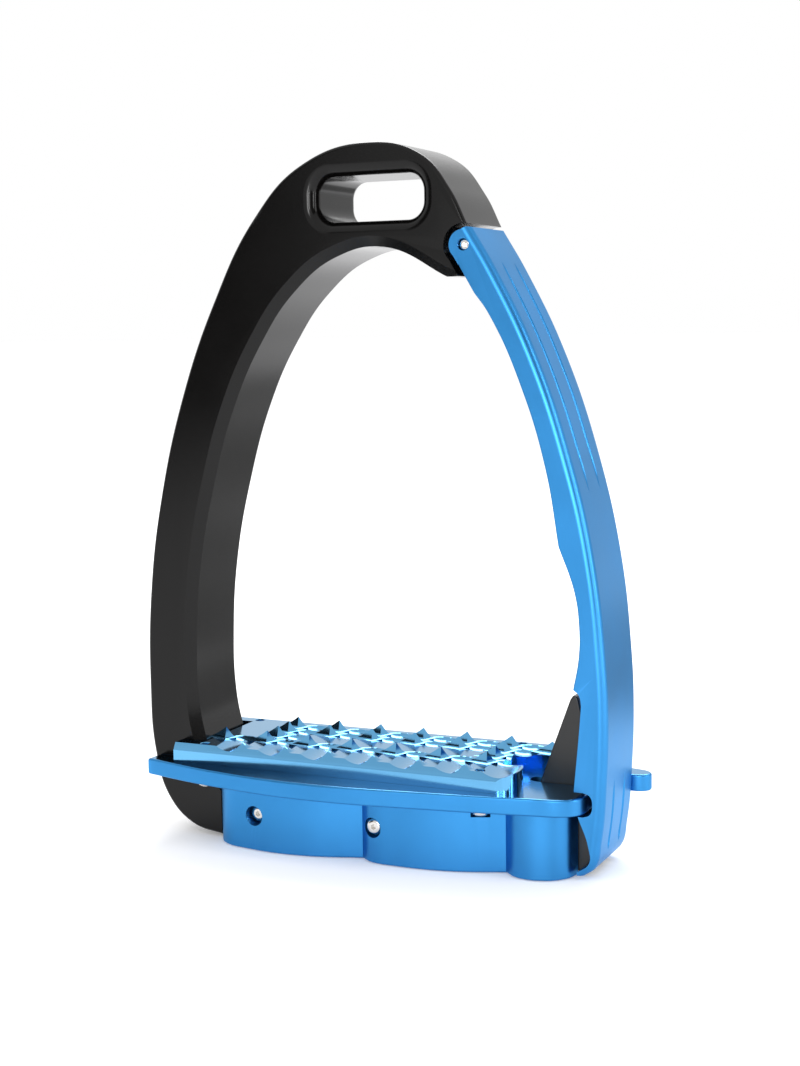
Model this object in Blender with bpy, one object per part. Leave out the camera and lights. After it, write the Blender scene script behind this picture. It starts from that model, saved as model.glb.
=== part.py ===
"""Safety stirrup iron: black arch, blue outward-opening side arm, spiked tread on a blue base.

Millimetres are written below and scaled to metres by MM. X runs from the fixed side of the
arch to the opening arm, Y runs from the toe side of the tread to the back, Z is up.
The origin is on the ground, midway across the arch at the middle of its depth.
"""
import math

import bmesh
import bpy
from mathutils import Matrix, Vector

MM = 0.001

# Driving dimensions (mm)
GAP = 0.3                       # clearance between neighbouring pieces
ARCH_DEPTH = 26.0               # front face to back face of arch and arm
HALF = ARCH_DEPTH / 2
ARCH_CENTRE_Z = 90.0            # middle of the foot opening
HINGE = (31.1, 162.2)           # X, Z of the arm's hinge axis
HINGE_RADIUS = 1.4
EAR_RADIUS = 3.9
HINGE_PIN_RECESS = 1.0          # depth of the pin's ends below the cheeks
HINGE_CLEARANCE_RADIUS = 5.4    # swept by the arm's top corner
TONGUE_HALF = 7.6               # half depth of the arch's hinge tongue
TONGUE_RADIUS = 2.5
CHEEK = 4.2                     # thickness of the arm's cheeks
CHANNEL_HALF = HALF - CHEEK
WEB = 2.8                       # thickness of the arm's outer wall
ARM_ROUND = 2.3
GROOVE_Y, GROOVE_RADIUS, GROOVE_RUN_OUT = 4.5, 1.1, 5.0
GROOVES = (((37.6, 159.0), (61.9, 97.5), 0.65), ((68.3, 25.5), (66.2, 6.0), 0.55))
INNER_CHAMFER = 2.6
OUTER_ROUND = 1.0
SLOT_LEFT, SLOT_RIGHT = -10.7, 19.4
SLOT_LOW, SLOT_HIGH = 169.2, 181.0
SLOT_CORNER = 4.6
SLOT_ROLL = 3.4                 # rolled mouth where the leather bears
PLATE_LOW, PLATE_HIGH = 17.4, 22.0
INSERT_LOW = PLATE_HIGH + GAP
INSERT_HIGH = 27.2
INSERT_HALF = 18.5
SPIKE_TIP = 30.2
SPIKE_PITCH = 13.2
FOOT_END = -43.8                # where the arch's full depth stops at the base
BAR_HALF = 8.0                  # half depth of the arch's bar inside the base
BAR_LOW, BAR_HIGH = 3.6, 15.4
BAR_END = 14.0
CROSS_SCREWS = ((-29.0, 9.6), (6.0, 9.6))
CROSS_SCREW_RADIUS = 1.9
CROSS_HEAD_RADIUS = 2.5
CROSS_HEAD_SEAT, CROSS_HEAD_END = 16.4, 18.6     # from the middle plane, front and back alike
CROSS_THREAD_RADIUS = 1.0
TREAD_SCREWS = ((-46.8, -15.7), (35.6, -15.7), (-46.8, 15.7), (35.6, 15.7))
TREAD_SCREW_RADIUS = 1.2
HEAD_POCKET_RADIUS = 2.7        # room in the base for a tread screw's head
HEAD_POCKET_LOW = 14.8
LEVER_HALF = 2.4                # half thickness of the release lever's fin
LEVER_FOOT_HALF = 8.3
LEVER_PIVOT = (53.6, 8.6)
LEVER_PIN_RADIUS = 1.5
BUFFER_X, BUFFER_Z, BUFFER_HALF = (63.4, 64.5), (17.8, 21.8), 6.0

CURVE_STEPS = 5
SMOOTH, CORNER = "AUTO", "VECTOR"


# ---------------------------------------------------------------- scene and helpers
def clear_scene():
    for old in list(bpy.data.objects):
        bpy.data.objects.remove(old, do_unlink=True)
    for name in ("stirrup_iron", "cutters"):
        if name not in bpy.data.collections:
            bpy.context.scene.collection.children.link(bpy.data.collections.new(name))
    return bpy.data.collections["stirrup_iron"], bpy.data.collections["cutters"]


PARTS, CUTTERS = clear_scene()


def material(name, colour, metallic, roughness):
    mat = bpy.data.materials.new(name)
    mat.use_nodes = True
    shader = mat.node_tree.nodes["Principled BSDF"]
    shader.inputs["Base Color"].default_value = (*colour, 1.0)
    shader.inputs["Metallic"].default_value = metallic
    shader.inputs["Roughness"].default_value = roughness
    return mat


BLACK_ANODISED = material("black_anodised", (0.012, 0.012, 0.013), 0.6, 0.28)
BLUE_ANODISED = material("blue_anodised", (0.03, 0.27, 0.72), 0.9, 0.3)
TREAD_BLUE = material("tread_blue", (0.10, 0.42, 0.78), 1.0, 0.18)
STEEL = material("stainless_steel", (0.62, 0.61, 0.58), 1.0, 0.25)
LEVER_BLACK = material("lever_black", (0.01, 0.01, 0.01), 0.0, 0.35)
BRONZE = material("bronze_bush", (0.45, 0.27, 0.10), 1.0, 0.35)
RUBBER = material("rubber", (0.015, 0.015, 0.015), 0.0, 0.7)


def add_object(name, mesh, mat=None):
    obj = bpy.data.objects.new(name, mesh)
    if mat is None:
        CUTTERS.objects.link(obj)
        obj.hide_render = True
        obj.display_type = "WIRE"
    else:
        PARTS.objects.link(obj)
        obj.data.materials.append(mat)
    return obj


def mesh_from(bm, name):
    bmesh.ops.recalc_face_normals(bm, faces=bm.faces)
    mesh = bpy.data.meshes.new(name)
    bm.to_mesh(mesh)
    bm.free()
    mesh.shade_smooth()
    mesh.set_sharp_from_angle(angle=math.radians(28))
    return mesh


def prism(name, outline, low, high, plane="XZ", mat=None, steps=CURVE_STEPS):
    """Extrude an outline of (u, v, handle) between two levels.

    In the XZ plane the levels are along Y, and in the XY plane they are along Z."""
    curve = bpy.data.curves.new(name, "CURVE")
    curve.dimensions = "2D"
    curve.fill_mode = "BOTH"
    curve.resolution_u = steps
    curve.extrude = (high - low) / 2 * MM
    spline = curve.splines.new("BEZIER")
    spline.bezier_points.add(len(outline) - 1)
    spline.use_cyclic_u = True
    for point, (u, v, handle) in zip(spline.bezier_points, outline):
        point.co = (u * MM, v * MM, 0.0)
        point.handle_left_type = handle
        point.handle_right_type = handle
    guide = bpy.data.objects.new(name, curve)
    CUTTERS.objects.link(guide)
    if plane == "XZ":
        turn = Matrix.Rotation(math.pi / 2, 4, "X")
        guide.matrix_world = Matrix.Translation((0, (low + high) / 2 * MM, 0)) @ turn
    else:
        guide.matrix_world = Matrix.Translation((0, 0, (low + high) / 2 * MM))
    bpy.context.view_layer.update()
    evaluated = guide.evaluated_get(bpy.context.evaluated_depsgraph_get())
    flat = bpy.data.meshes.new_from_object(evaluated)
    flat.transform(guide.matrix_world)
    bpy.data.objects.remove(guide, do_unlink=True)
    bm = bmesh.new()
    bm.from_mesh(flat)
    bpy.data.meshes.remove(flat)
    bmesh.ops.remove_doubles(bm, verts=bm.verts, dist=1e-6)
    axis = 1 if plane == "XZ" else 2
    for level in (low, high):
        cap = [face for face in bm.faces
               if abs(face.normal[axis]) > 0.9
               and abs(face.calc_center_median()[axis] - level * MM) < 1e-6]
        bmesh.ops.dissolve_faces(bm, faces=cap)
    return add_object(name, mesh_from(bm, name), mat)


def round_edges(obj, wanted, width, segments=2):
    """Bevel the sharp edges whose middle and side-wall normal satisfy wanted(mid, normal), in mm."""
    bm = bmesh.new()
    bm.from_mesh(obj.data)
    chosen = []
    for edge in bm.edges:
        if len(edge.link_faces) != 2 or edge.calc_face_angle() < math.radians(30):
            continue
        mid = (edge.verts[0].co + edge.verts[1].co) / 2 / MM
        normals = [face.normal for face in edge.link_faces]
        if wanted(mid, normals):
            chosen.append(edge)
    bmesh.ops.bevel(bm, geom=chosen, offset=width * MM, segments=segments, profile=0.5,
                    affect="EDGES", clamp_overlap=True)
    old = obj.data
    mats = list(old.materials)
    obj.data = mesh_from(bm, obj.name)
    for mat in mats:
        obj.data.materials.append(mat)
    bpy.data.meshes.remove(old)


def combine(obj, other, operation):
    """Apply a Boolean with a cutter or an added solid, which is then removed."""
    mod = obj.modifiers.new(operation.lower(), "BOOLEAN")
    mod.operation = operation
    mod.solver = "EXACT"
    mod.object = other
    bpy.context.view_layer.update()
    evaluated = obj.evaluated_get(bpy.context.evaluated_depsgraph_get())
    mesh = bpy.data.meshes.new_from_object(evaluated)
    obj.modifiers.remove(mod)
    mats = list(obj.data.materials)
    bm = bmesh.new()
    bm.from_mesh(mesh)
    bpy.data.meshes.remove(mesh)
    bmesh.ops.remove_doubles(bm, verts=bm.verts, dist=2e-6)
    old = obj.data
    obj.data = mesh_from(bm, obj.name)
    for mat in mats:
        obj.data.materials.append(mat)
    bpy.data.meshes.remove(old)
    bpy.data.objects.remove(other, do_unlink=True)


def cylinder(name, axis, centre, radius, low, high, mat=None, sides=24, top_radius=None):
    """A cylinder or cone along an axis between two levels, centred on the other two coordinates."""
    bm = bmesh.new()
    bmesh.ops.create_cone(bm, cap_ends=True, segments=sides, radius1=radius * MM,
                          radius2=(radius if top_radius is None else top_radius) * MM,
                          depth=(high - low) * MM)
    middle = (low + high) / 2
    if axis == "Y":
        turn = Matrix.Rotation(-math.pi / 2, 4, "X")
        place = Vector((centre[0], middle, centre[1]))
    elif axis == "X":
        turn = Matrix.Rotation(math.pi / 2, 4, "Y")
        place = Vector((middle, centre[0], centre[1]))
    else:
        turn = Matrix.Identity(4)
        place = Vector((centre[0], centre[1], middle))
    bmesh.ops.transform(bm, matrix=Matrix.Translation(place * MM) @ turn, verts=bm.verts)
    return add_object(name, mesh_from(bm, name), mat)


def box(name, low, high, mat=None):
    bm = bmesh.new()
    bmesh.ops.create_cube(bm, size=1.0)
    low, high = Vector(low) * MM, Vector(high) * MM
    size = high - low
    scale = Matrix.Diagonal((*size, 1.0))
    bmesh.ops.transform(bm, matrix=Matrix.Translation((low + high) / 2) @ scale, verts=bm.verts)
    return add_object(name, mesh_from(bm, name), mat)


def arc(centre, radius, start, end, count):
    """Outline points on an arc, in degrees."""
    points = []
    for step in range(count + 1):
        angle = math.radians(start + (end - start) * step / count)
        points.append((centre[0] + radius * math.cos(angle),
                       centre[1] + radius * math.sin(angle), SMOOTH))
    return points


def corners(*points):
    return [(u, v, CORNER) for u, v in points]


def smooth(*points):
    return [(u, v, SMOOTH) for u, v in points]


def edge_path(obj, start, via, end):
    """Points (x, z) along the rim of a prism's biggest face, from one corner past another to a third."""
    face = max(obj.data.polygons, key=lambda polygon: polygon.loop_total)
    rim = [Vector((obj.data.vertices[k].co.x, obj.data.vertices[k].co.z)) / MM for k in face.vertices]

    def nearest(place):
        return min(range(len(rim)), key=lambda k: (rim[k] - Vector(place)).length)

    first, middle, last = nearest(start), nearest(via), nearest(end)
    walk = [(first + k) % len(rim) for k in range((last - first) % len(rim) + 1)]
    if middle not in walk:
        walk = [(first - k) % len(rim) for k in range((first - last) % len(rim) + 1)]
    return [rim[k] for k in walk]


def chamfer_section(size, reach=0.6):
    """Corner section to cut away, as (outwards from the wall, down from the face)."""
    return [(reach, size + reach), (-size - reach, -reach), (reach, -reach)]


def round_section(radius, count, reach=0.6):
    turns = [math.pi / 2 * k / count for k in range(count + 1)]
    rounding = [(-radius + radius * math.cos(a), radius - radius * math.sin(a)) for a in turns]
    return [(reach, radius)] + rounding + [(-radius, -reach), (reach, -reach)]


def sweep(line, section_at, towards_middle):
    """A closed solid whose section, as (outwards, y) in mm, follows a line of (x, z) points."""
    sign = 1 if towards_middle else -1
    bm = bmesh.new()
    rings = []
    for k, place in enumerate(line):
        along = (line[min(k + 1, len(line) - 1)] - line[max(k - 1, 0)]).normalized()
        out = Vector((-along.y, along.x))
        if out.dot(Vector((0.0, ARCH_CENTRE_Z)) - place) * sign < 0:
            out = -out
        rings.append([bm.verts.new(Vector((place.x + out.x * a, y, place.y + out.y * a)) * MM)
                      for a, y in section_at(k / (len(line) - 1))])
    count = len(rings[0])
    for ring, following in zip(rings, rings[1:]):
        for k in range(count):
            n = (k + 1) % count
            bm.faces.new((ring[k], ring[n], following[n], following[k]))
    bm.faces.new(rings[0])
    bm.faces.new(rings[-1])
    return add_object("sweep", mesh_from(bm, "sweep"))


def cut_edge(obj, path, section, towards_middle):
    """Cut a section off the rim along a path, on the front and back faces alike."""
    start = path[0] + (path[0] - path[1]).normalized() * 3
    end = path[-1] + (path[-1] - path[-2]).normalized() * 3
    for side in (-1, 1):
        placed = [(a, side * (HALF - down)) for a, down in section]
        combine(obj, sweep([start, *path, end], lambda share: placed, towards_middle), "DIFFERENCE")


def groove_section(y, share, depth, sides):
    """Round groove bottom that rises out of the surface towards both ends of the groove."""
    sink = depth * min(1.0, GROOVE_RUN_OUT * share, GROOVE_RUN_OUT * (1 - share)) - 0.05
    turns = [2 * math.pi * k / sides for k in range(sides)]
    return [(GROOVE_RADIUS - sink + GROOVE_RADIUS * math.cos(a), y + GROOVE_RADIUS * math.sin(a))
            for a in turns]


def cut_grooves(arm):
    """Two long grooves high on the arm's outer face and two short ones at its foot."""
    for start, end, depth in GROOVES:
        path = edge_path(arm, start, ((start[0] + end[0]) / 2 + 1.5, (start[1] + end[1]) / 2), end)
        for y in (-GROOVE_Y, GROOVE_Y):
            combine(arm, sweep(path, lambda share: groove_section(y, share, depth, 8), False), "DIFFERENCE")


def at_origin(obj, x, y, z):
    """Move an object's origin to a point without moving the object."""
    place = Vector((x, y, z)) * MM
    obj.data.transform(Matrix.Translation(-place))
    obj.location = place
    return obj


# ---------------------------------------------------------------- arch
ARCH_OUTER = smooth((-53.5, 2.8), (-61.2, 10.0), (-65.3, 23.0), (-66.4, 42.0), (-65.1, 70.0),
                    (-61.0, 95.0), (-53.2, 123.0), (-42.6, 148.5), (-29.5, 170.8),
                    (-15.5, 184.0), (4.4, 189.2), (19.5, 185.4), (27.4, 176.4))
ARCH_INNER = smooth((8.0, 162.4), (-6.0, 160.2), (-18.5, 151.5), (-29.0, 138.0),
                    (-38.0, 120.5), (-45.0, 99.0), (-50.0, 76.0), (-51.9, 54.0),
                    (-51.6, 38.0), (-49.8, 28.0), (-47.2, 20.4))


def build_frame():
    hinge_arc = arc(HINGE, HINGE_CLEARANCE_RADIUS, 90, 225, 5)
    hinge_arc = [(*hinge_arc[0][:2], CORNER), *hinge_arc[1:-1], (*hinge_arc[-1][:2], CORNER)]
    shoulder_z = HINGE[1] + HINGE_CLEARANCE_RADIUS
    outline = corners((FOOT_END, 0.6)) + ARCH_OUTER
    outline += corners((31.9, shoulder_z)) + hinge_arc
    outline += corners((29.6, 154.3), (25.6, 154.3)) + ARCH_INNER
    outline += corners((FOOT_END, 16.9))
    frame = prism("frame", outline, -HALF, HALF, mat=BLACK_ANODISED)

    inner = edge_path(frame, (25.6, 154.3), (-38.0, 120.5), (FOOT_END, 16.9))
    outer = edge_path(frame, (FOOT_END, 0.6), (-53.2, 123.0), (31.9, shoulder_z))
    cut_edge(frame, inner, chamfer_section(INNER_CHAMFER), True)
    cut_edge(frame, outer, round_section(OUTER_ROUND, 2), False)

    combine(frame, slot_cutter(), "DIFFERENCE")

    def slot_mouth(mid, normals):
        return (abs(abs(mid.y) - HALF) < 0.01 and SLOT_LEFT - 0.1 < mid.x < SLOT_RIGHT + 0.1
                and SLOT_LOW - 0.1 < mid.z < SLOT_HIGH + 0.1)

    round_edges(frame, slot_mouth, SLOT_ROLL, 3)

    tongue_outline = arc(HINGE, TONGUE_RADIUS, -100, 165, 8)
    tongue_outline = [(u, v, CORNER) for u, v, _ in tongue_outline]
    tongue_outline += corners((25.0, 160.0), (20.0, 158.5), (25.0, 154.5), (29.4, 154.5))
    tongue = prism("tongue", tongue_outline, -TONGUE_HALF, TONGUE_HALF)
    combine(frame, tongue, "UNION")
    hinge_bore = cylinder("hinge_bore", "Y", HINGE, HINGE_RADIUS + GAP / 2, -HALF, HALF)
    combine(frame, hinge_bore, "DIFFERENCE")

    bar = box("bar", (FOOT_END - 4, -BAR_HALF, BAR_LOW), (BAR_END, BAR_HALF, BAR_HIGH))
    combine(frame, bar, "UNION")
    for x, z in CROSS_SCREWS:
        bore = cylinder("bar_bore", "Y", (x, z), CROSS_SCREW_RADIUS + GAP / 2, -HALF, HALF)
        combine(frame, bore, "DIFFERENCE")
    return frame


def slot_cutter():
    """Round-ended slot for the stirrup leather."""
    left, right = SLOT_LEFT + SLOT_CORNER, SLOT_RIGHT - SLOT_CORNER
    bottom, top = SLOT_LOW + SLOT_CORNER, SLOT_HIGH - SLOT_CORNER
    points = []
    for x, z, start in ((right, top, 0), (left, top, 90), (left, bottom, 180), (right, bottom, 270)):
        points += [(u, v, CORNER) for u, v, _ in arc((x, z), SLOT_CORNER, start, start + 90, 5)]
    return prism("leather_slot", points, -HALF - 1, HALF + 1)


# ---------------------------------------------------------------- opening arm
ARM_OUTER = smooth((39.2, 156.2), (49.8, 135.0), (59.0, 108.7), (65.2, 82.4),
                   (68.2, 56.0), (68.8, 42.0), (68.4, 26.0), (67.0, 10.0))


def arm_outline():
    top = corners((HINGE[0] + 0.6, 166.7), (32.9, 166.6))
    outer = ARM_OUTER
    bottom = smooth((65.4, 3.2)) + corners((62.6, 0.9), (60.9, 1.0), (60.9, 1.9))
    lower_inner = smooth((64.2, 4.6), (64.0, 9.0)) + corners((61.3, 16.4))
    catch = corners((60.2, 23.4)) + smooth((61.6, 38.0)) + corners((62.2, 45.5))
    ear_step = smooth((61.6, 48.2)) + corners((60.0, 49.6))
    palm = smooth((61.5, 58.0), (61.6, 66.0), (60.4, 74.5)) + corners((56.2, 86.0))
    shank = smooth((52.9, 105.2), (46.8, 125.2), (37.6, 145.0)) + corners((33.9, 150.0))
    ear = corners((31.2, 154.6)) + arc(HINGE, EAR_RADIUS, 225, 100, 5)
    return top + outer + bottom + lower_inner + catch + ear_step + palm + shank + ear


def build_arm():
    arm = prism("opening_arm", arm_outline(), -HALF, HALF, mat=BLUE_ANODISED)

    face = edge_path(arm, (32.9, 166.6), (65.2, 82.4), (62.6, 0.9))
    cut_grooves(arm)
    cut_edge(arm, face, round_section(ARM_ROUND, 3), False)

    web_line = []
    for x, z, _ in [(34.0, 164.6, SMOOTH)] + ARM_OUTER:
        web_line.append((x, z))
    channel = corners((31.0, 168.0))
    channel += corners((HINGE[0] + 2.5, 165.4))
    channel += smooth(*[(x - WEB * lean, z - WEB * drop)
                        for (x, z), (lean, drop) in zip(web_line[1:], web_leans(web_line))])
    channel += corners((64.2, -2.0), (40.0, -2.0), (30.0, 120.0), (24.0, 150.0), (24.0, 168.0))
    channel_cutter = prism("channel", channel, -CHANNEL_HALF, CHANNEL_HALF)
    combine(arm, channel_cutter, "DIFFERENCE")

    plate_slot = prism("plate_slot", smooth((64.4, 17.4), (65.1, 19.8), (64.4, 22.3))
                       + corners((62.6, 23.0), (50.0, 23.0), (50.0, 16.6), (62.6, 16.6)),
                       -HALF - 1, HALF + 1)
    combine(arm, plate_slot, "DIFFERENCE")
    combine(arm, cylinder("ear_bore", "Y", HINGE, HINGE_RADIUS + GAP / 2, -HALF - 1, HALF + 1),
            "DIFFERENCE")
    return at_origin(arm, HINGE[0], 0, HINGE[1])


def web_leans(line):
    """Unit normals of the outer wall along its line of points, as (x, z) pairs."""
    leans = []
    for index in range(1, len(line)):
        before = line[index - 1]
        after = line[min(index + 1, len(line) - 1)]
        along = Vector((after[0] - before[0], after[1] - before[1])).normalized()
        leans.append((-along.y, along.x))
    return leans


# ---------------------------------------------------------------- base and tread
PLATE_FRONT = smooth((-40.0, -24.2), (-10.0, -27.4), (25.0, -24.0), (50.0, -20.0))
BODY_FRONT = (corners((-43.4, -12.0)) + smooth((-40.6, -17.4), (-31.0, -20.6), (-14.0, -20.9))
              + corners((1.8, -16.6)) + smooth((5.0, -19.0), (13.0, -20.0), (28.0, -18.8))
              + corners((42.0, -14.2)) + smooth((46.0, -17.3), (53.0, -17.5), (58.4, -13.6)))


def mirrored(points):
    return [(u, -v, handle) for u, v, handle in reversed(points)]


def plate_outline():
    notch = corners((-44.2, HALF + 0.4), (-44.2, -HALF - 0.4), (-63.8, -HALF - 0.4))
    front_left = corners((-64.2, -18.2))
    front_right = smooth((59.5, -17.8), (62.6, -14.5)) + corners((63.0, -8.0))
    back_right = corners((62.9, HALF + 0.6)) + smooth((71.2, 14.4), (71.8, 17.6), (66.5, 20.4))
    back = mirrored(PLATE_FRONT)
    back_left = corners((-64.2, 18.2), (-63.8, HALF + 0.4))
    return front_left + PLATE_FRONT + front_right + back_right + back + back_left + notch


def build_base():
    base = prism("base", plate_outline(), PLATE_LOW, PLATE_HIGH, "XY", BLUE_ANODISED)
    round_edges(base, lambda mid, normals: abs(normals[0].z) > 0.9 or abs(normals[1].z) > 0.9,
                0.5, 1)
    body_outline = BODY_FRONT + corners((59.9, -8.9), (59.9, 8.9)) + mirrored(BODY_FRONT)
    body = prism("body", body_outline, 0.0, PLATE_LOW + 1.0, "XY")
    round_edges(body, lambda mid, normals: mid.z < 0.1, 1.4, 2)
    combine(base, body, "UNION")

    bar_pocket = box("bar_pocket", (FOOT_END - 6, -BAR_HALF - GAP, BAR_LOW - GAP),
                     (BAR_END + 0.6, BAR_HALF + GAP, BAR_HIGH + GAP))
    combine(base, bar_pocket, "DIFFERENCE")
    for x, z in CROSS_SCREWS:
        combine(base, cylinder("cross_bore", "Y", (x, z), CROSS_SCREW_RADIUS + GAP / 2, -25, 25),
                "DIFFERENCE")
        for side in (-1, 1):
            ends = sorted((side * 26, side * (CROSS_HEAD_SEAT - GAP)))
            combine(base, cylinder("head_recess", "Y", (x, z), CROSS_HEAD_RADIUS + 0.25, *ends),
                    "DIFFERENCE")
    for x, y in TREAD_SCREWS:
        hole = cylinder("screw_hole", "Z", (x, y), TREAD_SCREW_RADIUS + GAP, HEAD_POCKET_LOW + 1, 30,
                        sides=16)
        combine(base, hole, "DIFFERENCE")
        pocket = cylinder("head_pocket", "Z", (x, y), HEAD_POCKET_RADIUS, HEAD_POCKET_LOW,
                          PLATE_LOW + 0.02)
        combine(base, pocket, "DIFFERENCE")

    lever_slot = prism("lever_slot", arc((46.6, 0.0), LEVER_HALF + 0.4, 90, 270, 8)
                       + corners((70.0, -LEVER_HALF - 0.4), (70.0, LEVER_HALF + 0.4)),
                       -1.0, 24.0, "XY")
    combine(base, lever_slot, "DIFFERENCE")
    foot_pocket = box("foot_pocket", (55.6, -LEVER_FOOT_HALF - 0.4, -1), (70, LEVER_FOOT_HALF + 0.4, 17.0))
    combine(base, foot_pocket, "DIFFERENCE")
    pivot = cylinder("pivot_bore", "Y", LEVER_PIVOT, LEVER_PIN_RADIUS + GAP / 2, -10.4, 10.4)
    combine(base, pivot, "DIFFERENCE")
    spring_seat = cylinder("spring_seat", "X", (0.0, 6.0), 2.4, 36.0, 46.0)
    combine(base, spring_seat, "DIFFERENCE")
    return base


def insert_outline():
    notch = 5.2
    front = corners((-55.6, -13.4), (-55.6, -INSERT_HALF))
    front += corners((41.0, -INSERT_HALF)) + smooth((44.6, -16.6), (45.4, -11.5), (44.0, -7.0))
    front += corners((41.5, -notch), (37.8, -notch), (37.8, notch), (47.5, notch))
    back = smooth((50.4, 7.0), (51.2, 11.5), (49.6, 16.6)) + corners((45.5, INSERT_HALF))
    back += corners((-55.6, INSERT_HALF), (-55.6, 13.4), (-47.9, 13.4), (-47.9, -13.4))
    return front + back


def spike_places():
    columns = [-45.3 + SPIKE_PITCH * k for k in range(7)]
    rows = [(columns, -6.5), (columns[1:], 6.3), (columns[1:], 12.2)]
    rows.append(((columns[1], columns[6]), -0.1))
    rows.append(([-34.5 + SPIKE_PITCH * k for k in range(5)], -15.6))
    rows.append(((46.6,), 9.6))
    return [(x, y) for xs, y in rows for x in xs]


def build_tread():
    tread = prism("tread_insert", insert_outline(), INSERT_LOW, INSERT_HIGH, "XY", TREAD_BLUE)
    for x, y in spike_places():
        spike = cylinder("spike", "Z", (x, y), 3.4, INSERT_HIGH - 1.0, SPIKE_TIP, sides=8,
                         top_radius=0.25)
        combine(tread, spike, "UNION")
    for side in (-1, 1):
        chamfer = prism("edge_chamfer", corners((INSERT_HALF + 3.0, 22.6), (INSERT_HALF + 3.0, 34.0),
                                                (INSERT_HALF - 4.0, 32.0), (INSERT_HALF, 25.2)),
                        -70, 70)
        chamfer.data.transform(Matrix.Rotation(side * math.pi / 2, 4, "Z"))
        combine(tread, chamfer, "DIFFERENCE")
    for x, y in TREAD_SCREWS:
        combine(tread, cylinder("thread", "Z", (x, y), TREAD_SCREW_RADIUS + GAP / 2, 20, 32, sides=16),
                "DIFFERENCE")
    return tread


# ---------------------------------------------------------------- release lever
def build_lever():
    fin_outline = (corners((58.8, 15.0), (59.0, 30.0)) + smooth((58.2, 43.0), (56.8, 45.7))
                   + corners((55.6, 44.6), (46.9, 21.0), (46.0, 8.0), (48.6, 2.2), (57.0, 1.0)))
    lever = prism("release_lever", fin_outline, -LEVER_HALF, LEVER_HALF, mat=LEVER_BLACK)
    foot_outline = (corners((57.3, 1.0), (61.2, 0.8)) + smooth((63.4, 4.5), (63.2, 9.0), (61.9, 13.4))
                    + corners((60.4, 16.4), (57.3, 16.4)))
    foot = prism("lever_foot", foot_outline, -LEVER_FOOT_HALF, LEVER_FOOT_HALF)
    round_edges(foot, lambda mid, normals: abs(mid.y) > LEVER_FOOT_HALF - 0.1 and mid.x > 59, 0.6, 1)
    combine(lever, foot, "UNION")
    combine(lever, cylinder("lever_bore", "Y", LEVER_PIVOT, LEVER_PIN_RADIUS + GAP / 2, -10, 10),
            "DIFFERENCE")
    return at_origin(lever, LEVER_PIVOT[0], 0, LEVER_PIVOT[1])


# ---------------------------------------------------------------- pins, screws, springs
def socket(obj, axis, centre, low, high, radius):
    combine(obj, cylinder("hex_socket", axis, centre, radius, low, high, sides=6), "DIFFERENCE")


def build_hinge():
    length = HALF - HINGE_PIN_RECESS
    joint_y = CHANNEL_HALF + 0.6
    pin = cylinder("hinge_pin", "Y", HINGE, HINGE_RADIUS, -length, joint_y, STEEL)
    socket(pin, "Y", HINGE, -HALF, -length + 1.2, 0.75)
    nut = cylinder("hinge_nut", "Y", HINGE, HINGE_RADIUS, joint_y + GAP, length, STEEL)
    socket(nut, "Y", HINGE, length - 1.2, HALF, 0.75)
    for name, side in (("hinge_bush_front", -1), ("hinge_bush_rear", 1)):
        ends = sorted((side * (TONGUE_HALF + 0.3), side * (CHANNEL_HALF - 0.3)))
        bush = cylinder(name, "Y", HINGE, 2.6, *ends, BRONZE)
        combine(bush, cylinder("bush_bore", "Y", HINGE, HINGE_RADIUS + GAP / 2, -HALF, HALF),
                "DIFFERENCE")


def build_cross_screws():
    seat, end = CROSS_HEAD_SEAT, CROSS_HEAD_END
    for index, (x, z) in enumerate(CROSS_SCREWS, start=1):
        screw = cylinder(f"cross_screw_{index}", "Y", (x, z), CROSS_SCREW_RADIUS, -seat - 0.5, 12.6, STEEL)
        head = cylinder("head", "Y", (x, z), CROSS_HEAD_RADIUS, -end, -seat)
        round_edges(head, lambda mid, normals: mid.y < 0.1 - end, 1.1, 3)
        combine(screw, head, "UNION")
        combine(screw, cylinder("thread", "Y", (x, z), CROSS_THREAD_RADIUS, 12.0, end - 1.0), "UNION")
        socket(screw, "Y", (x, z), -end - 1.0, 1.0 - end, 0.8)
        nut = cylinder(f"cross_nut_{index}", "Y", (x, z), CROSS_HEAD_RADIUS, seat, end, STEEL, sides=6)
        combine(nut, cylinder("nut_thread", "Y", (x, z), CROSS_THREAD_RADIUS + GAP, seat - 1.0, end - 0.7),
                "DIFFERENCE")


def build_tread_screws():
    for index, (x, y) in enumerate(TREAD_SCREWS, start=1):
        screw = cylinder(f"tread_screw_{index}", "Z", (x, y), TREAD_SCREW_RADIUS, 16.6, 26.4, STEEL,
                         sides=16)
        head = cylinder("head", "Z", (x, y), 2.4, 15.2, PLATE_LOW - GAP, sides=20)
        round_edges(head, lambda mid, normals: mid.z < 15.3, 1.0, 3)
        combine(screw, head, "UNION")
        socket(screw, "Z", (x, y), 14.0, 16.1, 0.9)


def build_arm_buffer():
    """Rubber pad on the inside of the arm's outer wall, where it meets the plate's end."""
    (x_low, x_high), half, (z_low, z_high) = BUFFER_X, BUFFER_HALF, BUFFER_Z
    box("arm_buffer", (x_low, -half, z_low), (x_high, half, z_high), RUBBER)


def build_lever_hardware():
    cylinder("lever_pivot_pin", "Y", LEVER_PIVOT, LEVER_PIN_RADIUS, -10.1, 10.1, STEEL, sides=20)
    coil("lever_spring", start_x=36.6, length=8.6, centre_z=6.0, radius=1.7, wire=0.3, turns=5)


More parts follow.
